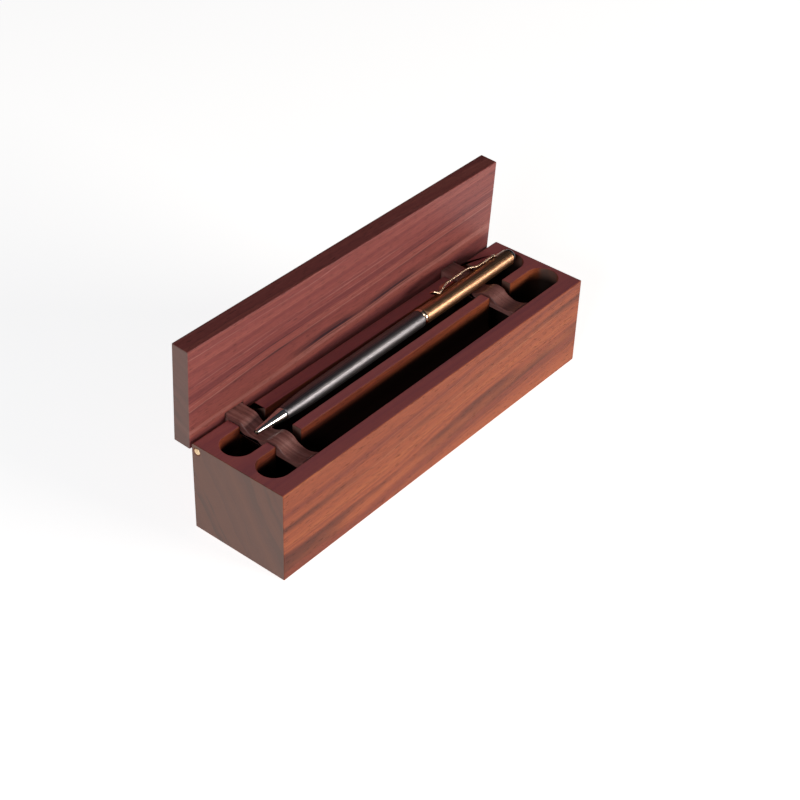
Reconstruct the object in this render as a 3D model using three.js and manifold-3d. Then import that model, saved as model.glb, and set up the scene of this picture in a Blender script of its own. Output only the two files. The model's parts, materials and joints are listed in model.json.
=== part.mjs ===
// Hinged wooden pen case with lift arms, holding one slim twist pen.
//
// A solid wooden block has two long channels for pens. The lid turns on two brass pins, one in each end
// of the block. Two saddled arms are fixed in the lid, so opening the lid swings them up level with the
// block's top, where they hold the pens out of the channels. Closing it swings them down into slots.
//
// Millimetres. +X runs along the block, +Y to the back where the lid is, +Z up. The origin is the centre
// of the block's underside.

import * as THREE from 'three';
import { mergeVertices } from 'three/addons/utils/BufferGeometryUtils.js';
import Module from 'manifold-3d';

// ---- driving dimensions -------------------------------------------------------------------------

const BLOCK = { length: 156, depth: 38.5, height: 34.6, chamfer: 0.35, backTopChamfer: 0.65 };
const CHANNEL = { width: 11.5, depth: 15.1, leftEnd: -74.7, rightEnd: 75.9, frontY: -7.45, rearY: 7.9 };
const PIVOT = { fromBack: 2.3, belowTop: 2.5 };
const LEAN = 2.3;                                   // degrees that the open lid leans forward
const LID = { left: -78, right: 74.6, height: 38.05, thickness: 6.9, chamfer: 0.35 };
const LID_GAP = 0.85;                               // between the block's back and the open lid
const LID_BELOW_TOP = 3.35;                         // the open lid's lower edge, below the block's top
const ARM = { width: 7.5, top: 3.9, bottom: -1, front: -29.4, frontBottom: -0.45, heel: 1.95, housing: 4 };
const ARM_LEFT_SIDES = { left: -61.8, right: 47.6 };
const SADDLE = { depth: 2.7, cornerRun: 1.1 };
const SLOT = { left: [-62.1, -50.5], right: [47.3, 59.3], radius: 30, backWall: 1, notch: 2.3 };
const PIN = { radius: 1.2, recess: 0.05, bore: 1.35, short: 0.35 };
const PEN = { tipX: -61.2, y: 7.6, radius: 3.05, wall: 0.5 };
const GAP = 0.3;                                    // air left between pieces that touch

// Distances along the pen from its writing end.
const NOSE = { length: 12.2, tipRadius: 0.95, endRadius: 2.3, hole: 0.62 };
const LOWER = { start: 12.45, full: 30, end: 80.7 };
const RING = { start: 80.95, end: 82.25, radius: 3.2 };
const UPPER = { start: 82.5, end: 131.2, endRadius: 2.95 };
const CAP = { end: 133.4, plug: 6 };
const CLIP = { foot: 91.1, bend: 93.6, bowStart: 99, bowEnd: 109, flat: 117, root: 125, rise: 2, turn: 40 };
const CLIP_STRIP = { width: 2.5, thickness: 0.6 };
const REFILL = { point: 0.75, shoulder: 13, end: 91, pointRadius: 0.42, radius: 1.45 };
const MECHANISM = { start: 84, end: 116, outer: 2.35, inner: 1.95 };
const CARRIER = { start: 91.3, end: 106, radius: 1.6 };

// ---- worked out from them -----------------------------------------------------------------------

const TOP = BLOCK.height;
const FRONT = -BLOCK.depth / 2;
const BACK = BLOCK.depth / 2;
const PIVOT_Y = BACK - PIVOT.fromBack;
const PIVOT_Z = TOP - PIVOT.belowTop;
const LID_FACE = PIVOT.fromBack + LID_GAP;          // the lid's inner face, behind the pivot
const LID_FOOT = PIVOT.belowTop - LID_BELOW_TOP;    // the lid's lower edge, above the pivot
const HALF = CHANNEL.width / 2;
const saddleRadius = (HALF ** 2 + SADDLE.depth ** 2) / (2 * SADDLE.depth);
const boreRadius = PEN.radius - PEN.wall;
const CLIP_TURN = -THREE.MathUtils.degToRad(CLIP.turn);   // from straight up towards the lid

const wasm = await Module();
wasm.setup();

// ---- materials ----------------------------------------------------------------------------------

function finish(color, roughness, metalness) {
  return new THREE.MeshStandardMaterial({ color, roughness, metalness });
}

const WOOD = finish(0x7a3e28, 0.45, 0);
const DARK_WOOD = finish(0x66352a, 0.5, 0);
const BRASS = finish(0xd8b070, 0.25, 1);
const STEEL = finish(0xa8a8ac, 0.18, 1);
const GOLD = finish(0xc89a62, 0.22, 1);
const BLACK = finish(0x0a0a0c, 0.25, 0);
const INK_TUBE = finish(0x9a9aa0, 0.4, 1);

// ---- helpers ------------------------------------------------------------------------------------

// Turns a shape drawn in (Y, Z) and extruded along its own third axis so that it runs along X.
const ALONG_X = new THREE.Matrix4().makeBasis(
  new THREE.Vector3(0, 1, 0),
  new THREE.Vector3(0, 0, 1),
  new THREE.Vector3(1, 0, 0),
);

function extrudeX(shape, from, to, bevel, curveSegments = 16) {
  const geometry = new THREE.ExtrudeGeometry(shape, {
    depth: to - from - 2 * bevel,
    bevelEnabled: bevel > 0,
    bevelThickness: bevel,
    bevelSize: bevel,
    bevelOffset: -bevel,
    bevelSegments: 1,
    curveSegments,
  });
  return geometry.applyMatrix4(ALONG_X).translate(from + bevel, 0, 0);
}

function polygon(points) {
  return new THREE.Shape(points.map(([y, z]) => new THREE.Vector2(y, z)));
}

function cylinderX(radius, from, to, y, z, sides = 32) {
  const geometry = new THREE.CylinderGeometry(radius, radius, to - from, sides);
  return geometry.rotateZ(Math.PI / 2).translate((from + to) / 2, y, z);
}

// A round piece about the pen's axis: the profile lists [distance from the writing end, radius].
function turned(profile, sides = 24) {
  const points = profile.map(([s, radius]) => new THREE.Vector2(radius, s));
  return new THREE.LatheGeometry(points, sides).rotateZ(-Math.PI / 2);
}

function solid(geometry) {
  const bare = geometry.clone();
  bare.deleteAttribute('normal');
  bare.deleteAttribute('uv');
  const merged = mergeVertices(bare, 1e-5);
  return new wasm.Manifold(new wasm.Mesh({
    numProp: 3,
    vertProperties: merged.attributes.position.array,
    triVerts: new Uint32Array(merged.index.array),
  }));
}

function geometryOf(manifold) {
  const mesh = manifold.getMesh();
  const geometry = new THREE.BufferGeometry();
  geometry.setAttribute('position', new THREE.BufferAttribute(mesh.vertProperties, 3));
  geometry.setIndex(new THREE.BufferAttribute(mesh.triVerts, 1));
  geometry.computeVertexNormals();
  return geometry;
}

function cut(geometry, cutters) {
  const whole = solid(geometry);
  return geometryOf(cutters.reduce((body, cutter) => body.subtract(solid(cutter)), whole));
}

function named(name, geometry, material) {
  const mesh = new THREE.Mesh(geometry, material);
  mesh.name = name;
  return mesh;
}

// ---- the block ----------------------------------------------------------------------------------

function blockProfile() {
  const c = BLOCK.chamfer;
  const b = BLOCK.backTopChamfer;
  return polygon([
    [FRONT + c, 0], [BACK - c, 0], [BACK, c], [BACK, TOP - b],
    [BACK - b, TOP], [FRONT + c, TOP], [FRONT, TOP - c], [FRONT, c],
  ]);
}

// The straight-walled upper part of a channel, with round ends.
function channelWalls(y) {
  const left = CHANNEL.leftEnd + HALF;
  const right = CHANNEL.rightEnd - HALF;
  const shape = new THREE.Shape();
  shape.absarc(left, y, HALF, Math.PI / 2, 1.5 * Math.PI, false);
  shape.absarc(right, y, HALF, 1.5 * Math.PI, 2.5 * Math.PI, false);
  const floor = TOP - CHANNEL.depth + HALF;
  const above = 2;
  const geometry = new THREE.ExtrudeGeometry(shape, {
    depth: TOP + above - floor,
    bevelEnabled: false,
    curveSegments: 16,
  });
  return geometry.translate(0, 0, floor);
}

// The half-round bottom of a channel: a cylinder with ball ends.
function channelBottom(y) {
  const left = CHANNEL.leftEnd + HALF;
  const right = CHANNEL.rightEnd - HALF;
  const z = TOP - CHANNEL.depth + HALF;
  const ball = (x) => new THREE.SphereGeometry(HALF, 32, 16).rotateX(Math.PI / 2).translate(x, y, z);
  const middle = cylinderX(HALF, left, right, y, z);
  return geometryOf(solid(middle).add(solid(ball(left))).add(solid(ball(right))));
}

// A slot takes one arm's swing. It runs out through the back only in a notch below the block's top.
function armSlot([from, to]) {
  const swing = cylinderX(SLOT.radius, from, to, PIVOT_Y, PIVOT_Z, 96);
  const notchBottom = PIVOT_Z - SLOT.notch;
  const wall = new THREE.BoxGeometry(to - from + 2, 60, 60);
  wall.translate((from + to) / 2, BACK - SLOT.backWall + 30, notchBottom - 30);
  const armRight = [ARM_LEFT_SIDES.left, ARM_LEFT_SIDES.right].find((side) => side > from) + ARM.width;
  const besideArm = new THREE.BoxGeometry(to - armRight + 1, 60, 80);
  besideArm.translate(armRight + GAP + (to - armRight + 1) / 2, BACK - SLOT.backWall + 30, PIVOT_Z);
  return cut(swing, [wall, besideArm]);
}

function block() {
  const body = extrudeX(blockProfile(), -BLOCK.length / 2, BLOCK.length / 2, BLOCK.chamfer);
  const channels = [CHANNEL.frontY, CHANNEL.rearY].flatMap((y) => [channelWalls(y), channelBottom(y)]);
  const slots = [SLOT.left, SLOT.right].map(armSlot);
  const beyond = BLOCK.length / 2 + 1;
  const bores = [
    cylinderX(PIN.bore, -beyond, SLOT.left[0] + 1, PIVOT_Y, PIVOT_Z, 24),
    cylinderX(PIN.bore, ARM_LEFT_SIDES.right + ARM.width, beyond, PIVOT_Y, PIVOT_Z, 24),
  ];
  return cut(body, [...channels, ...slots, ...bores]);
}

function hingePins() {
  const end = BLOCK.length / 2 - PIN.recess;
  const leftInner = ARM_LEFT_SIDES.left + ARM.width - PIN.short;
  const rightInner = ARM_LEFT_SIDES.right + PIN.short;
  return [
    named('hinge_pin_left', cylinderX(PIN.radius, -end, leftInner, PIVOT_Y, PIVOT_Z, 24), BRASS),
    named('hinge_pin_right', cylinderX(PIN.radius, rightInner, end, PIVOT_Y, PIVOT_Z, 24), BRASS),
  ];
}

// ---- the lid and its arms, drawn upright about the pivot --------------------------------------------

function lidPanel() {
  const c = LID.chamfer;
  const inner = LID_FACE;
  const outer = LID_FACE + LID.thickness;
  const foot = LID_FOOT;
  const head = LID_FOOT + LID.height;
  const profile = polygon([
    [inner + c, foot], [outer - c, foot], [outer, foot + c], [outer, head - c],
    [outer - c, head], [inner + c, head], [inner, head - c], [inner, foot + c],
  ]);
  const housings = Object.values(ARM_LEFT_SIDES).map((x) => {
    const size = [ARM.width + 2 * GAP, ARM.housing + GAP + 1, ARM.top + GAP - foot + 1];
    const box = new THREE.BoxGeometry(...size);
    return box.translate(
      x + ARM.width / 2,
      inner - 1 + size[1] / 2,
      foot - 1 + size[2] / 2,
    );
  });
  return cut(extrudeX(profile, LID.left, LID.right, LID.chamfer), housings);
}

// The arm's side: a round heel under the pivot, two round saddles on top, and a hump between them.
function armProfile() {
  const front = CHANNEL.frontY - PIVOT_Y;
  const rear = CHANNEL.rearY - PIVOT_Y;
  const centre = ARM.top - SADDLE.depth + saddleRadius;
  const spread = Math.asin((HALF - SADDLE.cornerRun) / saddleRadius);
  const down = -Math.PI / 2;
  const frontReach = Math.asin((front - ARM.front) / saddleRadius);
  const shape = new THREE.Shape();
  shape.moveTo(LID_FACE + ARM.housing, -ARM.heel);
  shape.lineTo(LID_FACE + ARM.housing, ARM.top);
  shape.lineTo(rear + HALF + SADDLE.cornerRun, ARM.top);
  const rearEnd = [rear + saddleRadius * Math.sin(spread), centre - saddleRadius * Math.cos(spread)];
  shape.quadraticCurveTo(rear + HALF, ARM.top, ...rearEnd);
  shape.absarc(rear, centre, saddleRadius, down + spread, down - spread, true);
  const middle = (front + rear) / 2;
  shape.quadraticCurveTo(rear - HALF, ARM.top, middle, ARM.top);
  const frontEnd = [front + saddleRadius * Math.sin(spread), rearEnd[1]];
  shape.quadraticCurveTo(front + HALF, ARM.top, ...frontEnd);
  shape.absarc(front, centre, saddleRadius, down + spread, down - frontReach, true);
  shape.lineTo(ARM.front, ARM.frontBottom);
  const heelStart = Math.PI + Math.asin(-ARM.bottom / ARM.heel);
  shape.lineTo(ARM.heel * Math.cos(heelStart), ARM.bottom);
  shape.absarc(0, 0, ARM.heel, heelStart, 1.5 * Math.PI, false);
  return shape;
}

function liftArm(side) {
  const from = ARM_LEFT_SIDES[side];
  const to = from + ARM.width;
  const bar = extrudeX(armProfile(), from, to, 0, 12);
  const bore = cylinderX(PIN.bore, from - 1, to + 1, 0, 0, 24);
  return named(`lift_arm_${side}`, cut(bar, [bore]), DARK_WOOD);
}

function lidAssembly() {
  const lid = new THREE.Group();
  lid.add(named('lid_panel', lidPanel(), WOOD), liftArm('left'), liftArm('right'));
  lid.position.set(0, PIVOT_Y, PIVOT_Z);
  lid.rotation.x = THREE.MathUtils.degToRad(LEAN);
  return lid;
}

// ---- the pen, drawn along +X from its writing end ---------------------------------------------------

function noseCone() {
  const wall = 0.7;
  return turned([
    [0.25, NOSE.hole], [0, NOSE.hole + 0.15], [0, NOSE.tipRadius - 0.1], [0.15, NOSE.tipRadius],
    [6.9, 1.7], [NOSE.length, NOSE.endRadius], [NOSE.length, NOSE.endRadius - wall],
    [3, NOSE.hole + 0.1], [0.25, NOSE.hole],
  ]);
}

function lowerBarrel() {
  const throat = NOSE.endRadius - 0.65;
  return turned([
    [LOWER.start, throat], [LOWER.start, NOSE.endRadius + 0.02], [18.8, 2.7], [24.8, 2.96],
    [LOWER.full, PEN.radius], [LOWER.end, PEN.radius], [LOWER.end, boreRadius],
    [LOWER.full, boreRadius], [20, 2], [LOWER.start, throat],
  ]);
}

function tube(from, to, outer, inner, sides = 24) {
  return turned([[from, inner], [from, outer], [to, outer], [to, inner], [from, inner]], sides);
}

function upperBarrel() {
  const inner = boreRadius;
  const barrel = turned([
    [UPPER.start, inner], [UPPER.start, PEN.radius], [112, PEN.radius], [UPPER.end - 0.3, UPPER.endRadius],
    [UPPER.end, UPPER.endRadius - 0.25], [UPPER.end, inner - 0.3], [UPPER.start + 40, inner],
    [UPPER.start, inner],
  ]);
  const slot = new THREE.BoxGeometry(CLIP_STRIP.thickness + 2 * GAP, CLIP_STRIP.width + 2 * GAP, 2);
  slot.translate(CLIP.root - CLIP_STRIP.thickness / 2, 0, PEN.radius + 0.35);
  return cut(barrel, [slot.rotateX(CLIP_TURN)]);
}

// The clip's side view: its root turns down into the barrel, and its foot dips and flares at the end.
function clip() {
  const r = PEN.radius + GAP;
  const t = CLIP_STRIP.thickness;
  const high = r + CLIP.rise;
  const rearMid = (CLIP.flat + CLIP.bowEnd) / 2;
  const frontMid = (CLIP.bowStart + CLIP.bend) / 2;
  const middle = (r + t + high) / 2;
  const shape = new THREE.Shape();
  shape.moveTo(CLIP.root, PEN.radius - 0.25);
  shape.lineTo(CLIP.root, r + t);
  shape.lineTo(CLIP.flat, r + t);
  shape.quadraticCurveTo(CLIP.flat - 2, r + t, rearMid, middle);
  shape.quadraticCurveTo(CLIP.bowEnd + 2, high, CLIP.bowEnd, high);
  shape.lineTo(CLIP.bowStart, high);
  shape.quadraticCurveTo(CLIP.bowStart - 1.3, high, frontMid, middle);
  shape.quadraticCurveTo(CLIP.bend + 1.3, r + t, CLIP.bend, r + t);
  shape.lineTo(CLIP.foot + 0.4, r + 2);
  shape.lineTo(CLIP.foot, r + 1.6);
  shape.lineTo(CLIP.bend - 0.4, r);
  shape.lineTo(CLIP.bend, r);
  shape.quadraticCurveTo(CLIP.bend + 1.3, r, frontMid, middle - t);
  shape.quadraticCurveTo(CLIP.bowStart - 1.3, high - t, CLIP.bowStart, high - t);
  shape.lineTo(CLIP.bowEnd, high - t);
  shape.quadraticCurveTo(CLIP.bowEnd + 2, high - t, rearMid, middle - t);
  shape.quadraticCurveTo(CLIP.flat - 2, r, CLIP.flat, r);
  shape.lineTo(CLIP.root - t, r);
  shape.lineTo(CLIP.root - t, PEN.radius - 0.25);
  const geometry = new THREE.ExtrudeGeometry(shape, {
    depth: CLIP_STRIP.width,
    bevelEnabled: false,
    curveSegments: 6,
  });
  return geometry.rotateX(Math.PI / 2).translate(0, CLIP_STRIP.width / 2, 0).rotateX(CLIP_TURN);
}

function endCap() {
  const plugRadius = boreRadius - 0.3 - GAP;
  const base = UPPER.end + GAP;
  const dome = [0, 1, 2, 3, 4, 5].map((step) => {
    const turn = (step / 5) * (Math.PI / 2);
    const rise = CAP.end - base - 0.4;
    return [base + 0.4 + rise * Math.sin(turn), Math.max(2.6 * Math.cos(turn), 0)];
  });
  return turned([
    [UPPER.end - CAP.plug, 0], [UPPER.end - CAP.plug, plugRadius], [base, plugRadius], [base, 2.6], ...dome,
  ]);
}

function refillPoint() {
  return turned([
    [REFILL.point, 0], [REFILL.point + 0.3, REFILL.pointRadius], [6.5, REFILL.pointRadius],
    [8.5, 0.8], [REFILL.shoulder - GAP, 0.8], [REFILL.shoulder - GAP, 0],
  ]);
}

function refillTube() {
  return turned([
    [REFILL.shoulder, 0], [REFILL.shoulder, 1], [REFILL.shoulder + 4, REFILL.radius],
    [REFILL.end, REFILL.radius], [REFILL.end, 0],
  ]);
}

function refillCarrier() {
  return turned([
    [CARRIER.start, 0], [CARRIER.start, CARRIER.radius], [CARRIER.end, CARRIER.radius], [CARRIER.end, 0],
  ]);
}

// The pen rests on both saddles. Its thin nose end sits lower, so its axis tips down to the left.
function penAssembly() {
  const lean = THREE.MathUtils.degToRad(LEAN);
  const saddleY = CHANNEL.rearY - PIVOT_Y;
  const saddleCentre = ARM.top - SADDLE.depth + saddleRadius;
  const lowest = saddleY * Math.sin(lean) + saddleCentre * Math.cos(lean) - saddleRadius;
  const saddleZ = PIVOT_Z + lowest;
  const noseRest = ARM_LEFT_SIDES.left + ARM.width;
  const barrelRest = ARM_LEFT_SIDES.right;
  const noseRadiusThere = 1.7;
  const noseZ = saddleZ + GAP + noseRadiusThere;
  const barrelZ = saddleZ + GAP + PEN.radius;
  const pitch = Math.atan2(barrelZ - noseZ, barrelRest - noseRest);

  const pen = new THREE.Group();
  pen.add(
    named('pen_nose_cone', noseCone(), STEEL),
    named('pen_lower_barrel', lowerBarrel(), STEEL),
    named('pen_centre_ring', tube(RING.start, RING.end, RING.radius, boreRadius), GOLD),
    named('pen_upper_barrel', upperBarrel(), GOLD),
    named('pen_clip', clip(), GOLD),
    named('pen_end_cap', endCap(), BLACK),
    named('pen_refill_point', refillPoint(), BRASS),
    named('pen_refill_tube', refillTube(), INK_TUBE),
    named('pen_refill_carrier', refillCarrier(), BLACK),
    named('pen_twist_sleeve', tube(MECHANISM.start, MECHANISM.end, MECHANISM.outer, MECHANISM.inner), BRASS),
  );
  pen.position.set(PEN.tipX, PEN.y, noseZ - (noseRest - PEN.tipX) * Math.tan(pitch));
  pen.rotation.set(0, -pitch, 0);
  return pen;
}

// ---- the whole case -----------------------------------------------------------------------------

const penCase = new THREE.Group();
penCase.add(named('base_block', block(), WOOD), ...hingePins(), lidAssembly(), penAssembly());

export default penCase;
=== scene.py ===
# %% [markdown]
# # A hinged wooden pen case with lift arms
# The case is a solid block of striped reddish hardwood with two channels routed in its top, and a lid on
# two brass pins. Two saddled arms in the lid lift a slim twist pen level with the block's top.
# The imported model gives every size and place, so the first step is to load it and read its joints. Each
# piece is then built again in finer mesh code around the same numbers and rides on the same bodies.

# %% Load the fixed frame
import json
import math

import bmesh
import bpy
from mathutils import Matrix, Vector


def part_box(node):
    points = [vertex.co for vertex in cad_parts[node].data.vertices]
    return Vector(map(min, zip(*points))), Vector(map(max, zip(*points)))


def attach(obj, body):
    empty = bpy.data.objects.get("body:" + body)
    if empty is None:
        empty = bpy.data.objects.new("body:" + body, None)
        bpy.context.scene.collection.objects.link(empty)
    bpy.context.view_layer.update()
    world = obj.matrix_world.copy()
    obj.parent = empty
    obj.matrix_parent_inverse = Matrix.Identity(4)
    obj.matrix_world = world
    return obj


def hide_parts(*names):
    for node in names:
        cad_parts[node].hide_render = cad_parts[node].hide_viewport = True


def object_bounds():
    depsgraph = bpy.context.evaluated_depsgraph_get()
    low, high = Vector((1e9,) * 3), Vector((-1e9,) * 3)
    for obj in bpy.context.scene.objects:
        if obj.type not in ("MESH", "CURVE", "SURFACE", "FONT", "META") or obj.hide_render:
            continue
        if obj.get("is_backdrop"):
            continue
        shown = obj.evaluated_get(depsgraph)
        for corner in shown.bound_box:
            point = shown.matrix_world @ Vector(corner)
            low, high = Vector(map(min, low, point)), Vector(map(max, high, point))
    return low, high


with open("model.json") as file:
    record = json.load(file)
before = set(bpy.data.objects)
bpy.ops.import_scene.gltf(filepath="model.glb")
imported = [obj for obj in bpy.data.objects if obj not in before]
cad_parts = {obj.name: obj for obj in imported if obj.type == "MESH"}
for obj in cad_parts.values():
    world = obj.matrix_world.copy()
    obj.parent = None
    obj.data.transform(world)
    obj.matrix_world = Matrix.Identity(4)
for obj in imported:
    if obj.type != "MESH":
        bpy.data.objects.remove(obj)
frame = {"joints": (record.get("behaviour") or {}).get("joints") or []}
cad_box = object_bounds()
MM = 0.001
joints = {joint["name"]: joint for joint in frame["joints"]}

# %% [markdown]
# ## The places that everything hangs on
# The lid and its arms are easiest to draw upright about the hinge, and the pen along its own axis from the
# writing end. Each gets a matrix taken from its joint, so a piece drawn in millimetres about its own
# origin lands where the frame says. The wood's figure is then fixed to the piece and moves with it.

# %% Read the hinge and the pen's axis
block_low, block_high = (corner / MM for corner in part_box("base_block"))
LENGTH = block_high.x - block_low.x
TOP = block_high.z
BACK = block_high.y
hinge = Vector(joints["lid_hinge"]["pos_m"])
pen_tip = Vector(joints["pen_twist"]["pos_m"])
pen_axis = Vector(joints["pen_twist"]["axis"])
LEAN = math.radians(-joints["lid_hinge"]["range_deg"][0])
in_block = Matrix.Identity(4)
in_lid = Matrix.Translation(hinge) @ Matrix.Rotation(LEAN, 4, "X")
in_pen = Matrix.Translation(pen_tip) @ Matrix.Rotation(-math.atan2(pen_axis.z, pen_axis.x), 4, "Y")
PIVOT_Y = hinge.y / MM
PIVOT_Z = hinge.z / MM
print(f"block {LENGTH:.1f} x {BACK * 2:.1f} x {TOP:.1f} mm, lid leans {math.degrees(LEAN):.1f} degrees")

# %% [markdown]
# ## The camera
# A long lens from the front left and well above shows the left end, the front, both channels and the
# inside of the lid at once. The camera turns about a point near the middle of the case, with a small roll.

# %% Place the camera
VIEW = {"azimuth": -51.73, "elevation": 37.77, "roll": 2.14, "distance": 0.5971, "lens": 78.06}
AIM = {"right": 0.00115, "up": 0.01274}
azimuth = math.radians(VIEW["azimuth"])
elevation = math.radians(VIEW["elevation"])
backward = Vector((
    math.sin(azimuth) * math.cos(elevation),
    -math.cos(azimuth) * math.cos(elevation),
    math.sin(elevation),
))
level = Vector((math.cos(azimuth), math.sin(azimuth), 0))
turn = Matrix.Rotation(math.radians(VIEW["roll"]), 3, backward)
right = turn @ level
up = backward.cross(right)
camera = bpy.data.objects.new("camera", bpy.data.cameras.new("camera"))
camera.data.lens = VIEW["lens"]
camera.data.sensor_width = 36
camera.data.clip_start = 0.01
eye = backward * VIEW["distance"] + right * AIM["right"] + up * AIM["up"]
camera.matrix_world = Matrix.Translation(eye) @ Matrix((right, up, backward)).transposed().to_4x4()
bpy.context.scene.collection.objects.link(camera)
bpy.context.scene.camera = camera
print("camera at", [round(value, 3) for value in eye])

# %% [markdown]
# ## Making pieces
# A round piece is a profile turned about the X axis. A flat piece is an outline in Y and Z pushed along X.
# Blender has a Screw and a Solidify modifier for these, but a short loop over rings of points gives the
# same mesh with exactly the wanted number of sides. Holes are cut with Boolean modifiers, because routed
# channels and slots really are cuts, and a Bevel modifier then rounds every sharp edge as sandpaper does.

# %% Helpers that make and place a piece
def linked(name, points, faces):
    mesh = bpy.data.meshes.new(name)
    mesh.from_pydata([Vector(point) * MM for point in points], [], faces)
    mesh.update()
    piece = bpy.data.objects.new(name, mesh)
    bpy.context.scene.collection.objects.link(piece)
    return piece


def stacked(name, rings):
    """A closed skin over rings that all have the same number of points, capped at both ends."""
    size = len(rings[0])
    points = [point for ring in rings for point in ring]
    faces = []
    for layer in range(len(rings) - 1):
        for side in range(size):
            near = layer * size + side
            beside = layer * size + (side + 1) % size
            faces.append((near, beside, beside + size, near + size))
    last = (len(rings) - 1) * size
    faces.append(tuple(reversed(range(size))))
    faces.append(tuple(last + side for side in range(size)))
    piece = linked(name, points, faces)
    outward(piece)
    return piece


def outward(piece):
    """Turns every face to look out of its closed mesh."""
    skin = bmesh.new()
    skin.from_mesh(piece.data)
    bmesh.ops.remove_doubles(skin, verts=skin.verts, dist=1e-7)
    bmesh.ops.dissolve_degenerate(skin, dist=1e-7, edges=skin.edges)
    bmesh.ops.recalc_face_normals(skin, faces=skin.faces)
    skin.to_mesh(piece.data)
    skin.free()


def along_x(name, outline, start, end):
    """An outline of (y, z) points pushed from one x to another."""
    return stacked(name, [[(x, y, z) for y, z in outline] for x in (start, end)])


def turned(name, profile, sides=96):
    """A closed profile of (distance along x, radius) points turned about the x axis."""
    points = []
    faces = []
    for side in range(sides):
        angle = 2 * math.pi * side / sides
        points += [(s, r * math.sin(angle), r * math.cos(angle)) for s, r in profile]
    size = len(profile)
    for side in range(sides):
        here = side * size
        there = (side + 1) % sides * size
        for step in range(size):
            after = (step + 1) % size
            faces.append((here + step, here + after, there + after, there + step))
    piece = linked(name, points, faces)
    outward(piece)
    return piece


def box(name, low, high):
    (x0, y0, z0), (x1, y1, z1) = low, high
    return along_x(name, [(y0, z0), (y1, z0), (y1, z1), (y0, z1)], x0, x1)


def rod(name, radius, start, end, y, z, sides=64):
    outline = [
        (y + radius * math.cos(2 * math.pi * side / sides), z + radius * math.sin(2 * math.pi * side / sides))
        for side in range(sides)
    ]
    return along_x(name, outline, start, end)


def applied(piece):
    """Swaps the piece's mesh for the one that its modifiers give."""
    graph = bpy.context.evaluated_depsgraph_get()
    mesh = bpy.data.meshes.new_from_object(piece.evaluated_get(graph))
    piece.modifiers.clear()
    piece.data = mesh


def carved(piece, cutters):
    for cutter in cutters:
        cut = piece.modifiers.new(cutter.name, "BOOLEAN")
        cut.object = cutter
        cut.operation = "DIFFERENCE"
        cut.solver = "EXACT"
    applied(piece)
    for cutter in cutters:
        bpy.data.objects.remove(cutter)
    return piece


def softened(piece, width, segments=3, sharper_than=35):
    """Rounds the piece's sharp edges by a width in millimetres and shades it smoothly."""
    piece.data.shade_smooth()
    bevel = piece.modifiers.new("rounded edges", "BEVEL")
    bevel.width = width * MM
    bevel.segments = segments
    bevel.limit_method = "ANGLE"
    bevel.angle_limit = math.radians(sharper_than)
    bevel.use_clamp_overlap = False
    bevel.harden_normals = True
    applied(piece)
    return piece


def placed(piece, place, body, nodes, material):
    """Puts a finished piece in the frame, on its body, in place of its CAD nodes."""
    piece.matrix_world = place
    piece.data.materials.clear()
    piece.data.materials.append(material)
    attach(piece, body)
    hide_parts(*nodes)
    print(f"{piece.name}: {len(piece.data.polygons)} faces on {body}")
    return piece


# %% [markdown]
# ## Writing a finish as arithmetic
# A procedural finish is mostly sums: how far a point lies across the growth rings, how dark that ring is,
# how much a pore takes away. Written node by node, that is hard to read. The small class below wraps one
# output socket, and arithmetic on it adds the Math nodes. Every other node comes from `Finish.node`.

# %% A socket that does arithmetic
class Value:
    def __init__(self, finish, socket):
        self.finish = finish
        self.socket = socket

    def joined(self, operation, first, second=None):
        values = {0: first} if second is None else {0: first, 1: second}
        return self.finish.node("ShaderNodeMath", {"operation": operation}, values)

    def __add__(self, other):
        return self.joined("ADD", self, other)

    def __radd__(self, other):
        return self.joined("ADD", other, self)

    def __sub__(self, other):
        return self.joined("SUBTRACT", self, other)

    def __rsub__(self, other):
        return self.joined("SUBTRACT", other, self)

    def __mul__(self, other):
        return self.joined("MULTIPLY", self, other)

    def __rmul__(self, other):
        return self.joined("MULTIPLY", other, self)

    def __truediv__(self, other):
        return self.joined("DIVIDE", self, other)

    def __rtruediv__(self, other):
        return self.joined("DIVIDE", other, self)

    def __pow__(self, other):
        return self.joined("POWER", self, other)

    def __abs__(self):
        return self.joined("ABSOLUTE", self)


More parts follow.
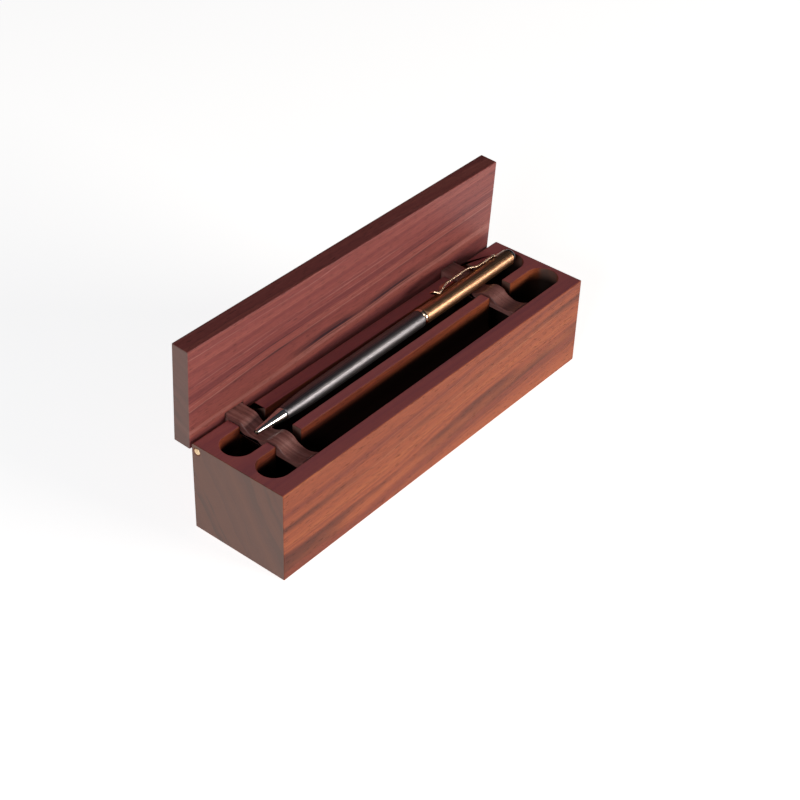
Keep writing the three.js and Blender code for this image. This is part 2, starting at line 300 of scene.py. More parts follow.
# %% A finish: one material and the nodes that it is made of
class Finish:
    def __init__(self, name):
        self.material = bpy.data.materials.new(name)
        self.material.use_nodes = True
        self.tree = self.material.node_tree
        self.tree.nodes.clear()

    def node(self, kind, settings=None, values=None, output=0):
        """Adds a node: its settings first, then its sockets' values or links. Returns one output."""
        node = self.tree.nodes.new(kind)
        for key, setting in (settings or {}).items():
            if key == "stops":
                self.set_stops(node.color_ramp, setting)
            else:
                setattr(node, key, setting)
        for key, value in (values or {}).items():
            if isinstance(value, Value):
                self.tree.links.new(value.socket, node.inputs[key])
            else:
                node.inputs[key].default_value = value
        return Value(self, node.outputs[output]) if node.outputs else None

    def set_stops(self, ramp, stops):
        while len(ramp.elements) < len(stops):
            ramp.elements.new(0.5)
        for element, (position, colour) in zip(ramp.elements, stops):
            element.position = position
            element.color = (*colour, 1)

    def position(self):
        """The point's place on its own piece, in millimetres."""
        metres = self.node("ShaderNodeTexCoord", output="Object")
        return self.scaled(metres, (1000, 1000, 1000))

    def scaled(self, vector, factors):
        return self.node("ShaderNodeVectorMath", {"operation": "MULTIPLY"}, {0: vector, 1: factors})

    def parts(self, vector):
        return [self.node("ShaderNodeSeparateXYZ", values={0: vector}, output=axis) for axis in "XYZ"]

    def vector(self, x, y, z):
        return self.node("ShaderNodeCombineXYZ", values={0: x, 1: y, 2: z})

    def noise(self, vector, detail=2, roughness=0.5, distortion=0):
        values = {"Vector": vector, "Scale": 1, "Detail": detail, "Roughness": roughness,
                  "Distortion": distortion}
        return self.node("ShaderNodeTexNoise", values=values)

    def noise_line(self, distance, detail=1, roughness=0.5):
        values = {"W": distance, "Scale": 1, "Detail": detail, "Roughness": roughness}
        return self.node("ShaderNodeTexNoise", {"noise_dimensions": "1D"}, values)

    def rise(self, value, low, high):
        """0 below low, 1 above high, and a smooth step between them."""
        values = {"Value": value, "From Min": low, "From Max": high}
        return self.node("ShaderNodeMapRange", {"interpolation_type": "SMOOTHSTEP"}, values)

    def ramp(self, value, stops):
        return self.node("ShaderNodeValToRGB", {"stops": stops}, {0: value})

    def mixed(self, amount, first, second, blend="MIX"):
        """Colours: first where amount is 0, second where it is 1."""
        sides = [side if isinstance(side, Value) else (*side, 1) for side in (first, second)]
        settings = {"data_type": "RGBA", "blend_type": blend}
        return self.node("ShaderNodeMix", settings, {0: amount, 6: sides[0], 7: sides[1]}, output=2)

    def grey(self, value):
        return self.node("ShaderNodeCombineColor", values={0: value, 1: value, 2: value})

    def bump(self, height, depth, strength=1):
        values = {"Height": height, "Distance": depth * MM, "Strength": strength}
        return self.node("ShaderNodeBump", values=values)

    def surface(self, **sockets):
        """Ends the finish in a Principled shader. Underscores in socket names stand for spaces."""
        values = {key.replace("_", " "): value for key, value in sockets.items()}
        shader = self.node("ShaderNodeBsdfPrincipled", values=values)
        self.node("ShaderNodeOutputMaterial", values={"Surface": shader})
        print(f"{self.material.name}: {len(self.tree.nodes)} nodes")
        return self.material


# %% [markdown]
# ## The wood
# The case is oiled rosewood: orange to red-brown, with purple-black streaks where dark growth layers come
# to the surface, fine pores drawn out along the grain, and a satin sheen. One way to paint it is a picture
# on each face, but then streaks stop at the edges. Here the wood is solid: colour depends only on how far
# a point lies across the growth layers, so a streak on the front runs on over the end as a ring.
# The layers lie at a tilt, which the end grain shows, and rise slightly along the board. The block has two
# additions of painted light: its top is tinted more purple than its sides as a painted sheen of the sky, and
# its cuts darken with depth as painted shade inside the routed wood. Both depend on the place on the block,
# so they move with it.

# %% Solid wood, cut from tilted growth layers
# The end faces' grey is partly the end grain's own colour and partly a painted sheen of the white light.
END_GRAIN_AND_SHEEN = (0.175, 0.118, 0.100)
# The block's top is tinted cool purple as a painted sheen of the sky above.
PAINTED_TOP_SHEEN = (0.400, 0.125, 0.155)
# Painted shade: the near-black that the block's cuts darken to, starting a little below the top.
PAINTED_CUT_SHADE = (0.010, 0.005, 0.004)
PAINTED_SHADE_START = 0.9


def wood(name, tones, streak, tilt, rise_along, seed, streaks=1.0, painted_sheen_grey=0.8, painted_shade_depth=0):
    w = Finish(name)
    place = w.position()
    x, y, z = w.parts(place)
    wander = w.noise(w.scaled(place, (0.007, 0.045, 0.045)), detail=2)
    ripple = w.noise(w.scaled(place, (0.03, 0.22, 0.22)), detail=2)
    lean = math.radians(tilt)
    across = y * math.cos(lean) - (z - x * rise_along) * math.sin(lean)
    layer = across + wander * 7 + ripple * 1.1 + seed

    broad = w.noise_line(layer * 0.10, detail=1)
    bands = w.noise_line(layer * 0.30 + 31, detail=2, roughness=0.6)
    lines = w.noise_line(layer * 2.1 + 57, detail=3, roughness=0.65)
    colour = w.ramp(broad * 0.34 + bands * 0.42 + lines * 0.24, tones)

    fade = w.noise(w.scaled(place, (0.018, 0.09, 0.09)), detail=2)
    dark_band = w.rise(w.noise_line(layer * 0.15 + 83, detail=2), 0.57, 0.72)
    dark_line = w.rise(w.noise_line(layer * 0.45 + 11, detail=2), 0.64, 0.72)
    darkness = (dark_band * 0.75 + dark_line * 0.85) * w.rise(fade, 0.34, 0.62) * streaks
    colour = w.mixed(darkness, colour, streak)

    pale_line = w.rise(w.noise_line(layer * 1.25 + 129, detail=2), 0.66, 0.74) * w.rise(fade, 0.62, 0.4)
    colour = w.mixed(pale_line * 0.42, colour, tones[-1][1])

    fibre = w.noise(w.scaled(place, (0.16, 3.6, 3.6)), detail=4, roughness=0.7)
    pores = w.rise(w.noise(w.scaled(place, (0.32, 4.4, 4.4)), detail=1), 0.63, 0.70)
    flecks = w.noise(w.scaled(place, (0.5, 1.6, 1.6)), detail=3, roughness=0.7)
    shade = 0.34 + fibre * 0.95 + flecks * 0.4
    colour = w.mixed(1, colour, w.grey(shade), "MULTIPLY")
    colour = w.mixed(pores * 0.55, colour, tuple(part * 0.45 for part in streak))

    facing = w.node("ShaderNodeTexCoord", output="Normal")
    end_grain = w.rise(abs(w.parts(facing)[0]), 0.6, 0.9)
    # End faces are greyed: part end-grain colour, part painted sheen.
    colour = w.mixed(end_grain * painted_sheen_grey, colour, END_GRAIN_AND_SHEEN)
    if painted_shade_depth:
        # Painted sheen: faces that look up are tinted cool purple, as the sky's reflection would tint them.
        painted_top_sheen = w.rise(w.parts(facing)[2], 0.85, 0.95)
        colour = w.mixed(painted_top_sheen * 0.6, colour, PAINTED_TOP_SHEEN)
        # Painted shade: inside the block's cuts the colour darkens towards near-black with depth below the
        # top.
        inside = 1 - w.rise(abs(x), LENGTH / 2 - 1.5, LENGTH / 2 - 0.5)
        inside = inside * (1 - w.rise(abs(y), BACK - 1.5, BACK - 0.5)) * w.rise(z, 0.5, 1.5)
        painted_cut_darkening = w.rise(TOP - z, PAINTED_SHADE_START, painted_shade_depth)
        colour = w.mixed(inside * painted_cut_darkening * 0.97, colour, PAINTED_CUT_SHADE)

    roughness = 0.36 + flecks * 0.16 + pores * 0.2 + end_grain * 0.12
    height = fibre * 0.5 + lines * 0.3 - pores * 0.9
    return w.surface(
        Base_Color=colour,
        Roughness=roughness,
        Normal=w.bump(height, 0.05, 0.55),
        Specular_IOR_Level=0.16,
    )


ROSEWOOD = [
    (0.36, (0.157, 0.033, 0.021)),
    (0.44, (0.230, 0.052, 0.023)),
    (0.54, (0.286, 0.070, 0.027)),
    (0.66, (0.341, 0.092, 0.032)),
    (0.78, (0.406, 0.142, 0.061)),
]
LID_TONES = [
    (0.36, (0.147, 0.040, 0.042)),
    (0.44, (0.205, 0.055, 0.052)),
    (0.54, (0.247, 0.069, 0.060)),
    (0.66, (0.289, 0.087, 0.073)),
    (0.78, (0.441, 0.198, 0.172)),
]
# The block gets the painted top sheen and painted shade in its cuts, full at 5.5 mm below the top.
block_wood = wood("rosewood_block", ROSEWOOD, (0.055, 0.014, 0.010), tilt=30, rise_along=0.05, seed=0,
                  painted_shade_depth=5.5)
lid_wood = wood("rosewood_lid", LID_TONES, (0.040, 0.018, 0.024), tilt=62, rise_along=0.035, seed=140,
                streaks=1.3)

# %% [markdown]
# ## The arms' wood
# The arms are short strips of the same timber with their grain running front to back, at right angles to
# the block's, so bands cross them from side to side.

# %% Wood with its grain along the arm
def arm_timber(name, seed):
    w = Finish(name)
    place = w.position()
    x, y, z = w.parts(place)
    wander = w.noise(w.scaled(place, (0.12, 0.03, 0.12)), detail=2)
    layer = x * 0.9 + z * 0.45 + y * 0.04 + wander * 3 + seed
    bands = w.noise_line(layer * 0.8, detail=3, roughness=0.6)
    colour = w.ramp(bands, [
        (0.30, (0.165, 0.066, 0.058)),
        (0.42, (0.210, 0.085, 0.074)),
        (0.54, (0.250, 0.106, 0.094)),
        (0.70, (0.310, 0.145, 0.132)),
    ])
    fibre = w.noise(w.scaled(place, (3.4, 0.2, 3.4)), detail=4, roughness=0.7)
    pores = w.rise(w.noise(w.scaled(place, (4.2, 0.35, 4.2)), detail=1), 0.62, 0.70)
    colour = w.mixed(1, colour, w.grey(0.55 + fibre * 0.9), "MULTIPLY")
    colour = w.mixed(pores * 0.5, colour, (0.020, 0.008, 0.008))
    return w.surface(
        Base_Color=colour,
        Roughness=0.3 + fibre * 0.14 + pores * 0.2,
        Normal=w.bump(fibre * 0.6 - pores, 0.05, 0.5),
        Specular_IOR_Level=0.5,
    )


left_arm_wood = arm_timber("rosewood_left_arm", 3)
right_arm_wood = arm_timber("rosewood_right_arm", 47)

# %% [markdown]
# ## The metals
# The pen's barrels are plated brass, drawn and engraved with fine lines along their length. A texture
# stretched along x would smear at the sides of a tube, so the lines depend on the angle about the pen's
# axis instead. The angle's seam is underneath. The brass pins are cut flat and rubbed, so they show
# faint turning rings and scratches.

# %% Metals
def lined_metal(name, dark, bright, lines, depth, roughness):
    m = Finish(name)
    place = m.position()
    x, y, z = m.parts(place)
    angle = m.node("ShaderNodeMath", {"operation": "ARCTAN2"}, {0: y, 1: z})
    drawn = m.noise(m.vector(x * 0.012, angle * 16, 4), detail=4, roughness=0.75)
    wave = m.node("ShaderNodeMath", {"operation": "SINE"}, {0: angle * lines})
    engraved = m.rise(wave, 0.55, 0.95)
    specks = m.noise(m.scaled(place, (0.8, 2.2, 2.2)), detail=4, roughness=0.8)
    colour = m.mixed(m.rise(drawn, 0.36, 0.66), dark, bright)
    colour = m.mixed(engraved * 0.3, colour, dark)
    return m.surface(
        Base_Color=colour,
        Metallic=1.0,
        Roughness=roughness + drawn * 0.12 + specks * 0.08 + engraved * 0.12,
        Normal=m.bump(drawn * 0.4 - engraved * 0.6, depth, 0.6),
    )


def polished_metal(name, colour, roughness, tint):
    m = Finish(name)
    place = m.position()
    smears = m.noise(m.scaled(place, (0.3, 0.9, 0.9)), detail=3)
    scratches = m.noise(m.scaled(place, (0.5, 6, 6)), detail=3, roughness=0.7)
    return m.surface(
        Base_Color=m.mixed(m.rise(smears, 0.35, 0.7), colour, tint),
        Metallic=1.0,
        Roughness=roughness + smears * 0.08 + scratches * 0.06,
        Normal=m.bump(scratches, 0.006, 0.4),
    )


def rubbed_brass(name):
    m = Finish(name)
    place = m.position()
    x, y, z = m.parts(place)
    off_y = y - PIVOT_Y
    off_z = z - PIVOT_Z
    radius = (off_y * off_y + off_z * off_z) ** 0.5
    rings = m.noise_line(radius * 9, detail=3, roughness=0.7)
    scratches = m.noise(m.scaled(place, (3, 1.2, 9)), detail=3, roughness=0.7)
    tarnish = m.rise(m.noise(m.scaled(place, (0.9, 0.9, 0.9)), detail=3), 0.4, 0.7)
    return m.surface(
        Base_Color=m.mixed(tarnish * 0.5, (0.88, 0.66, 0.42), (0.62, 0.40, 0.20)),
        Metallic=1.0,
        Roughness=0.28 + scratches * 0.2 + tarnish * 0.12,
        Normal=m.bump(rings * 0.5 + scratches * 0.5, 0.02, 0.6),
    )


chrome = lined_metal("chrome_lined", (0.10, 0.10, 0.12), (0.30, 0.29, 0.30), 84, 0.02, 0.27)
bright_chrome = polished_metal("chrome_polished", (0.66, 0.65, 0.64), 0.14, (0.78, 0.77, 0.76))
gold = lined_metal("gold_lined", (0.30, 0.15, 0.08), (0.78, 0.48, 0.29), 60, 0.02, 0.22)
bright_gold = polished_metal("gold_polished", (0.86, 0.60, 0.42), 0.12, (0.92, 0.70, 0.52))
brass = rubbed_brass("brass_rubbed")
refill_metal = polished_metal("refill_drawn", (0.55, 0.55, 0.58), 0.3, (0.66, 0.66, 0.68))

# %% [markdown]
# ## Black plastic
# The pen's end cap is glossy black plastic. Real gloss is never perfect: a faint orange-peel ripple and a
# few dust specks keep its highlight from looking like glass.

# %% Gloss black
def gloss_black(name):
    p = Finish(name)
    place = p.position()
    ripple = p.noise(p.scaled(place, (1.1, 1.1, 1.1)), detail=2)
    dust = p.rise(p.noise(p.scaled(place, (7, 7, 7)), detail=2), 0.66, 0.74)
    return p.surface(
        Base_Color=p.mixed(dust * 0.3, (0.006, 0.006, 0.008), (0.06, 0.055, 0.05)),
        Roughness=0.12 + dust * 0.3 + ripple * 0.06,
        Normal=p.bump(ripple, 0.02, 0.3),
    )


black = gloss_black("black_gloss")

# %% [markdown]
# ## The block
# The real block starts as one squared length of rosewood. A round-nosed cutter makes the two channels,
# each with round ends and a half-round bottom, and a larger wheel sinks the slots that the arms swing in.
# The channel cutter below is a stack of racetrack outlines: full width down to where the bottom starts to
# curve, then shrinking like a quarter circle. The slots open through the back only as wide as an
# arm, so a thin wall is left beside each arm and under its root.

# %% Cutters for the block
CHANNEL = {"radius": 5.75, "depth": 15.1, "left": -74.7, "right": 75.9, "front": -7.45, "rear": 7.9}
SLOTS = {"left": (-62.1, -50.5), "right": (47.3, 59.3)}
ARM_RIGHT = {"left": -54.3, "right": 55.1}
SLOT = {"radius": 30, "back_wall": 1, "notch": 2.3, "arm_gap": 0.3}
BACK_TOP_CHAMFER = 0.65
BORE = 1.35
ABOVE = 2
BEYOND = 2


def racetrack(radius, y, z, sides=40):
    """A level outline with round ends, from the channels' left end to their right end."""
    ends = (
        (CHANNEL["left"] + CHANNEL["radius"], math.pi / 2),
        (CHANNEL["right"] - CHANNEL["radius"], -math.pi / 2),
    )
    outline = []
    for x, start in ends:
        for step in range(sides + 1):
            angle = start + math.pi * step / sides
            outline.append((x + radius * math.cos(angle), y + radius * math.sin(angle), z))
    return outline


def channel_cutter(name, y):
    radius = CHANNEL["radius"]
    curve_starts = TOP - CHANNEL["depth"] + radius
    levels = 20
    rings = [racetrack(radius, y, TOP + ABOVE)]
    for level in range(levels):
        angle = math.pi / 2 * level / levels
        rings.append(racetrack(radius * math.cos(angle), y, curve_starts - radius * math.sin(angle)))
    return stacked(name, rings)


def slot_cutter(name, start, end, arm_right):
    cutter = rod(name, SLOT["radius"], start, end, PIVOT_Y, PIVOT_Z, sides=160)
    wall_front = BACK - SLOT["back_wall"]
    wall = box(f"{name}_wall", (start - 1, wall_front, -60), (end + 1, BACK + 60, PIVOT_Z - SLOT["notch"]))
    beside_arm = box(
        f"{name}_beside_arm",
        (arm_right + SLOT["arm_gap"], wall_front, -60),
        (end + 1, BACK + 60, 80),
    )
    return carved(cutter, [wall, beside_arm])


def bore_cutter(name, start, end):
    return rod(name, BORE, start, end, PIVOT_Y, PIVOT_Z, sides=48)


# %% Cut the block and round its edges
block = along_x(
    "wood_block",
    [(-BACK, 0), (BACK, 0), (BACK, TOP - BACK_TOP_CHAMFER), (BACK - BACK_TOP_CHAMFER, TOP), (-BACK, TOP)],
    block_low.x,
    block_high.x,
)
cutters = [channel_cutter(f"{row}_channel", CHANNEL[row]) for row in ("front", "rear")]
cutters += [slot_cutter(f"{side}_slot", *span, ARM_RIGHT[side]) for side, span in SLOTS.items()]
cutters.append(bore_cutter("left_bore", block_low.x - BEYOND, SLOTS["left"][0] + 1))
cutters.append(bore_cutter("right_bore", ARM_RIGHT["right"], block_high.x + BEYOND))
carved(block, cutters)
softened(block, 0.32)
placed(block, in_block, "base", ["base_block"], block_wood)

# %% [markdown]
# ## The hinge pins
# Each hinge pin is a length of brass rod driven in from the end of the block and dressed flush, so only a
# small bright disc shows. Its edge is rounded, which catches a thin ring of light.

# %% Two brass pins
def hinge_pin(name):
    low, high = (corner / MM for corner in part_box(name))
    radius = (high.z - low.z) / 2
    edge = 0.12
    profile = [(low.x, 0.001), (low.x, radius - edge), (low.x + edge, radius),
               (high.x - edge, radius), (high.x, radius - edge), (high.x, 0.001)]
    pin = turned(f"{name}_rod", profile, sides=48)
    for vertex in pin.data.vertices:
        vertex.co.y += PIVOT_Y * MM
        vertex.co.z += PIVOT_Z * MM
    softened(pin, 0.05, segments=2, sharper_than=40)
    return placed(pin, in_block, "base", [name], brass)


hinge_pin("hinge_pin_left")
hinge_pin("hinge_pin_right")

# %% [markdown]
# ## The lid
# The lid is one flat board. Two shallow housings are cut in its inner face for the arms' roots, which sit
# in them as in a drawer's dovetail. It is drawn upright about the hinge and leans with its matrix.

# %% The lid board
LID_ROUNDING = 0.4
LID = {"left": -78, "right": 74.6, "face": 3.15, "thickness": 6.9, "foot": -0.85, "height": 38.05}
ARM = {"width": 7.5, "top": 3.9, "underside": -1, "front": -29.4, "front_underside": -0.45, "heel": 1.95,
       "housing": 4}
ARM_LEFT = {"left": -61.8, "right": 47.6}
GAP = 0.3

lid = box(
    "wood_lid",
    (LID["left"], LID["face"], LID["foot"]),
    (LID["right"], LID["face"] + LID["thickness"], LID["foot"] + LID["height"]),
)
housings = [
    box(
        f"{side}_housing",
        (x - GAP, LID["face"] - 1, LID["foot"] - 1),
        (x + ARM["width"] + GAP, LID["face"] + ARM["housing"] + GAP, ARM["top"] + GAP),
    )
    for side, x in ARM_LEFT.items()
]
carved(lid, housings)
softened(lid, LID_ROUNDING)
placed(lid, in_lid, "lid", ["lid_panel"], lid_wood)

# %% [markdown]
# ## The lift arms
# Each arm is sawn from a thin board: two round saddles where pens lie, a hump between them that stands in
# for the block's rib, a straight underside and a round heel that turns about the pin. The outline is
# built from arcs, pushed to the arm's width, drilled for the pin and rounded along its edges.

# %% The arm's outline
SADDLE = {"depth": 2.7, "corner_run": 1.1}
HALF = CHANNEL["radius"]
saddle_radius = (HALF ** 2 + SADDLE["depth"] ** 2) / (2 * SADDLE["depth"])
saddle_centre = ARM["top"] - SADDLE["depth"] + saddle_radius


def arc(centre, radius, start, end, steps):
    """Points on an arc in (y, z), from one angle to another."""
    angles = [start + (end - start) * step / steps for step in range(steps + 1)]
    return [(centre[0] + radius * math.cos(a), centre[1] + radius * math.sin(a)) for a in angles]


def eased(start, bend, end, steps=10):
    """Points on a curve that leaves start towards bend and reaches end from it, without its start."""
    points = []
    for step in range(1, steps + 1):
        t = step / steps
        weights = ((1 - t) ** 2, 2 * t * (1 - t), t ** 2)
        points.append(tuple(
            sum(weight * point[axis] for weight, point in zip(weights, (start, bend, end)))
            for axis in (0, 1)
        ))
    return points


def arm_outline():
    front = CHANNEL["front"] - PIVOT_Y
    rear = CHANNEL["rear"] - PIVOT_Y
    down = -math.pi / 2
    spread = math.asin((HALF - SADDLE["corner_run"]) / saddle_radius)
    reach = math.asin((front - ARM["front"]) / saddle_radius)
    root = LID["face"] + ARM["housing"]
    top = ARM["top"]
    middle = (front + rear) / 2
    outline = [(root, -ARM["heel"]), (root, top), (rear + HALF + SADDLE["corner_run"], top)]
    rear_saddle = arc((rear, saddle_centre), saddle_radius, down + spread, down - spread, 28)
    outline += eased(outline[-1], (rear + HALF, top), rear_saddle[0])
    outline += rear_saddle[1:]
    outline += eased(outline[-1], (rear - HALF, top), (middle, top))
    front_saddle = arc((front, saddle_centre), saddle_radius, down + spread, down - reach, 28)
    outline += eased(outline[-1], (front + HALF, top), front_saddle[0])
    outline += front_saddle[1:]
    outline.append((ARM["front"], ARM["front_underside"]))
    heel_start = math.pi + math.asin(-ARM["underside"] / ARM["heel"])
    outline += arc((0, 0), ARM["heel"], heel_start, 1.5 * math.pi, 16)
    return outline


# %% Two arms, one strip of wood each
def lift_arm(side, material):
    x = ARM_LEFT[side]
    arm = along_x(f"wood_arm_{side}", arm_outline(), x, x + ARM["width"])
    carved(arm, [rod(f"{side}_arm_bore", BORE, x - 1, x + ARM["width"] + 1, 0, 0, sides=48)])
    softened(arm, 0.4)
    return placed(arm, in_lid, "lid", [f"lift_arm_{side}"], material)


lift_arm("left", left_arm_wood)
lift_arm("right", right_arm_wood)

# %% [markdown]
# ## The pen's turned pieces
# Everything on the pen but its clip is turned on a lathe, so each piece is one closed profile of
# (distance from the writing end, radius) spun about the axis. Small steps in the profile, such as the
# groove between nose and barrel or the rounded lip of a tube, are what make it read as metal.

# %% The nose and the lower barrel
PEN = {"radius": 3.05, "bore": 2.55}
NOSE = {"length": 12.2, "tip": 0.95, "end": 2.3, "hole": 0.62}


def rounded_tube(start, end, outer, inner, lip=0.12):
    """A tube's profile with its four lips rounded off."""
    return [(start, inner), (start, outer - lip), (start + lip, outer),
            (end - lip, outer), (end, outer - lip), (end, inner)]


def on_pen(name, profile, body, node, material, sides=96):
    piece = turned(name, profile, sides)
    piece.data.shade_smooth()
    piece.data.set_sharp_from_angle(angle=math.radians(32))
    return placed(piece, in_pen, body, [node], material)


nose_profile = [(0.3, NOSE["hole"]), (0.06, NOSE["hole"] + 0.06), (0, NOSE["hole"] + 0.16),
                (0, NOSE["tip"] - 0.14), (0.05, NOSE["tip"] - 0.05), (0.15, NOSE["tip"])]
for step in range(1, 25):
    t = step / 24
    length = 0.15 + (NOSE["length"] - 0.35) * t
    nose_profile.append((length, NOSE["tip"] + (NOSE["end"] - NOSE["tip"]) * (0.86 * t + 0.14 * t ** 2)))
nose_profile += [(NOSE["length"] - 0.1, NOSE["end"] - 0.03), (NOSE["length"], NOSE["end"] - 0.12),
                 (NOSE["length"], NOSE["end"] - 0.7), (3, NOSE["hole"] + 0.1)]
on_pen("steel_nose", nose_profile, "pen_lower", "pen_nose_cone", bright_chrome)

LOWER = {"start": 12.45, "full": 30, "end": 80.7}
throat = NOSE["end"] - 0.65
lower_profile = [(LOWER["start"], throat), (LOWER["start"], NOSE["end"] - 0.1),
                 (LOWER["start"] + 0.12, NOSE["end"] + 0.02)]
for step in range(1, 25):
    t = step / 24
    s = LOWER["start"] + 0.12 + (LOWER["full"] - LOWER["start"] - 0.12) * t
    swell = math.sin(t * math.pi / 2) ** 0.92
    lower_profile.append((s, NOSE["end"] + 0.02 + (PEN["radius"] - NOSE["end"] - 0.02) * swell))
lower_profile += [(LOWER["end"] - 0.1, PEN["radius"]), (LOWER["end"], PEN["radius"] - 0.1),
                  (LOWER["end"], PEN["bore"]), (LOWER["full"], PEN["bore"]), (18.8, 2)]
on_pen("steel_lower_barrel", lower_profile, "pen_lower", "pen_lower_barrel", chrome, sides=128)

# %% The ring and the upper barrel
RING = {"start": 80.95, "end": 82.25, "radius": 3.2}
UPPER = {"start": 82.5, "end": 131.2, "end_radius": 2.95}
on_pen(
    "gold_centre_ring",
    rounded_tube(RING["start"], RING["end"], RING["radius"], PEN["bore"], lip=0.3),
    "pen_lower", "pen_centre_ring", bright_gold,
)
upper_profile = [(UPPER["start"], PEN["bore"]), (UPPER["start"], PEN["radius"] - 0.12),
                 (UPPER["start"] + 0.12, PEN["radius"]), (112, PEN["radius"]),
                 (UPPER["end"] - 0.3, UPPER["end_radius"]), (UPPER["end"], UPPER["end_radius"] - 0.25),
                 (UPPER["end"], PEN["bore"] - 0.3), (UPPER["start"] + 40, PEN["bore"])]
upper = turned("gold_upper_barrel", upper_profile, sides=128)
CLIP = {"foot": 91.1, "bend": 93.6, "bow_start": 99, "bow_end": 109, "flat": 117, "root": 125,
        "width": 2.5, "thickness": 0.6, "rise": 2, "turn": 40}
turn_back = Matrix.Rotation(-math.radians(CLIP["turn"]), 4, "X")
clip_slot = box(
    "clip_slot",
    (CLIP["root"] - CLIP["thickness"] - GAP, -CLIP["width"] / 2 - GAP, PEN["radius"] - 0.65),
    (CLIP["root"] + GAP, CLIP["width"] / 2 + GAP, PEN["radius"] + 1.35),
)
clip_slot.data.transform(turn_back)
carved(upper, [clip_slot])
upper.data.shade_smooth()
upper.data.set_sharp_from_angle(angle=math.radians(32))
placed(upper, in_pen, "pen", ["pen_upper_barrel"], gold)

# %% [markdown]
# ## The clip
# The clip is one strip of spring metal. Its root turns down into the barrel, and its foot dips to the
# barrel and flares up again to slide over cloth. Its side view is drawn as a closed outline, given the
# strip's width, turned towards the lid about the pen's axis, and its edges are rounded.

# %% The spring clip
def clip_outline():
    """The clip's side view as (distance, height) points."""
    base = PEN["radius"] + GAP
    thick = CLIP["thickness"]
    high = base + CLIP["rise"]
    root, flat, bow_end = CLIP["root"], CLIP["flat"], CLIP["bow_end"]
    bow_start, bend, foot = CLIP["bow_start"], CLIP["bend"], CLIP["foot"]
    rear_mid = (flat + bow_end) / 2
    front_mid = (bow_start + bend) / 2
    middle = (base + thick + high) / 2
    top = [(root, PEN["radius"] - 0.25), (root, base + thick), (flat, base + thick)]
    top += eased(top[-1], (flat - 2, base + thick), (rear_mid, middle))
    top += eased(top[-1], (bow_end + 2, high), (bow_end, high))
    top.append((bow_start, high))
    top += eased(top[-1], (bow_start - 1.3, high), (front_mid, middle))
    top += eased(top[-1], (bend + 1.3, base + thick), (bend, base + thick))
    top.append((foot + 0.4, base + 2))
    under = [(foot, base + 1.6), (bend - 0.4, base), (bend, base)]
    under += eased(under[-1], (bend + 1.3, base), (front_mid, middle - thick))
    under += eased(under[-1], (bow_start - 1.3, high - thick), (bow_start, high - thick))
    under.append((bow_end, high - thick))
    under += eased(under[-1], (bow_end + 2, high - thick), (rear_mid, middle - thick))
    under += eased(under[-1], (flat - 2, base), (flat, base))
    under += [(root - thick, base), (root - thick, PEN["radius"] - 0.25)]
    return top + under


half_width = CLIP["width"] / 2
clip = stacked("gold_clip", [[(s, y, h) for s, h in clip_outline()] for y in (-half_width, half_width)])
clip.data.transform(turn_back)
softened(clip, 0.14, segments=2, sharper_than=50)
placed(clip, in_pen, "pen", ["pen_clip"], bright_gold)

# %% [markdown]
# ## The end cap and the pieces inside
# A black plug closes the upper barrel with a shallow dome. Inside are the refill with its ball point, a
# plastic carrier and a brass sleeve that turning the pen drives. Most of it is out of sight, but the ball
# point comes out when the lower barrel is twisted, so it is turned to the same standard.

# %% The end cap
CAP_STEP = 0.4
CAP_DOME = 1.5
cap_base = UPPER["end"] + GAP
plug_radius = PEN["bore"] - 0.3 - GAP
cap_profile = [(UPPER["end"] - 6, 0.001), (UPPER["end"] - 6, plug_radius), (cap_base, plug_radius),
               (cap_base, 2.5), (cap_base + 0.08, 2.6)]
for step in range(11):
    angle = math.pi / 2 * step / 10
    cap_profile.append((cap_base + CAP_STEP + CAP_DOME * math.sin(angle), max(2.6 * math.cos(angle), 0.001)))
on_pen("black_end_cap", cap_profile, "pen", "pen_end_cap", black)

# %% The refill and the twist sleeve
ball = [(0.75 + 0.3 * (1 - math.cos(a)), max(0.3 * math.sin(a), 0.001))
        for a in (math.pi / 2 * step / 6 for step in range(7))]
point_profile = ball + [(1.35, 0.42), (6.5, 0.42), (8.5, 0.8), (12.7, 0.8), (12.7, 0.001)]
on_pen("refill_ball_point", point_profile, "pen_refill", "pen_refill_point", bright_gold, sides=48)
tube_profile = [(13, 0.001), (13, 0.95), (13.1, 1), (17, 1.45), (90.8, 1.45), (91, 1.3), (91, 0.001)]
on_pen("refill_barrel", tube_profile, "pen_refill", "pen_refill_tube", refill_metal, sides=48)
carrier_profile = [(91.3, 0.001), (91.3, 1.5), (91.4, 1.6), (105.9, 1.6), (106, 1.5), (106, 0.001)]
on_pen("refill_carrier_plug", carrier_profile, "pen_refill", "pen_refill_carrier", black,
       sides=48)
on_pen("brass_twist_sleeve", rounded_tube(84, 116, 2.35, 1.95), "pen_lower", "pen_twist_sleeve",
       bright_gold, sides=48)

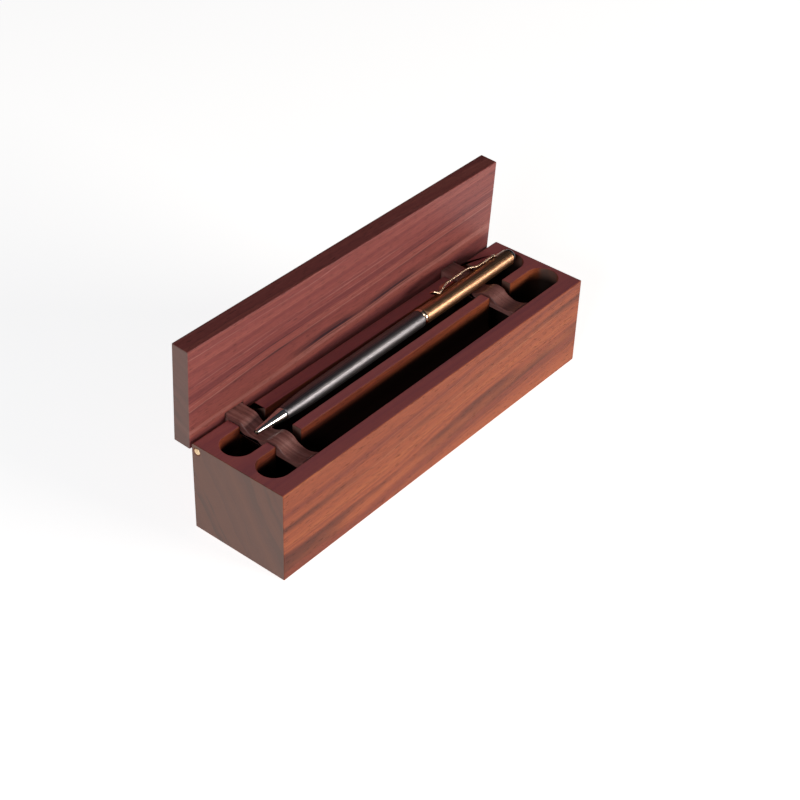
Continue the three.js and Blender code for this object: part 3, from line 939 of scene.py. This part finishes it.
# %% [markdown]
# ## Floor and light
# The case stands on a seamless white table. The front of the case is its brightest side, and the top is
# much darker, so the main light is a wide soft panel low in front and a little to the right. A weaker
# panel on the left shows the end grain, and a dim cool sky fills the top.

# %% A pale floor
def floor_finish():
    f = Finish("white_table")
    mottle = f.noise(f.scaled(f.position(), (0.02, 0.02, 0.02)), detail=2)
    return f.surface(
        Base_Color=f.mixed(mottle, (0.86, 0.86, 0.86), (0.88, 0.88, 0.88)),
        Roughness=0.8,
        Emission_Color=(1, 1, 1, 1),
        Emission_Strength=0.78,
    )


floor = box("floor", (-1500, -1500, -4), (1500, 1500, 0))
floor.data.materials.append(floor_finish())
floor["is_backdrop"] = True

# %% Soft studio lights
def soft_panel(name, place, aim, width, height, power, colour=(1, 1, 1)):
    lamp = bpy.data.lights.new(name, "AREA")
    lamp.shape = "RECTANGLE"
    lamp.size = width
    lamp.size_y = height
    lamp.energy = power
    lamp.color = colour
    panel = bpy.data.objects.new(name, lamp)
    panel.location = place
    panel.rotation_euler = (Vector(aim) - Vector(place)).to_track_quat("-Z", "Y").to_euler()
    bpy.context.scene.collection.objects.link(panel)
    print(f"{name}: {power} W")


soft_panel("front_panel", (0.45, -1.0, 0.30), (0, 0, 0.03), 0.8, 0.25, 10.5, (1, 0.92, 0.83))
soft_panel("left_panel", (-1.0, -0.3, 0.5), (0, 0, 0.02), 0.4, 0.4, 4)
world = bpy.data.worlds.new("studio")
world.use_nodes = True
background = world.node_tree.nodes["Background"]
background.inputs["Color"].default_value = (0.75, 0.82, 1, 1)
background.inputs["Strength"].default_value = 0.04
bpy.context.scene.world = world
bpy.context.scene.view_settings.view_transform = "Standard"

# %% [markdown]
# ## The case's size
# Rounding edges must not change the case's size, so both boxes are gathered and the rounded case's size is
# printed.

# %% Gather the boxes and print the size
visual_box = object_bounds()
sizes = {
    "cad": [list(corner) for corner in cad_box],
    "visual": [list(corner) for corner in visual_box],
}
print("size in mm:", [round((high - low) / MM, 2) for low, high in zip(*sizes["visual"])])
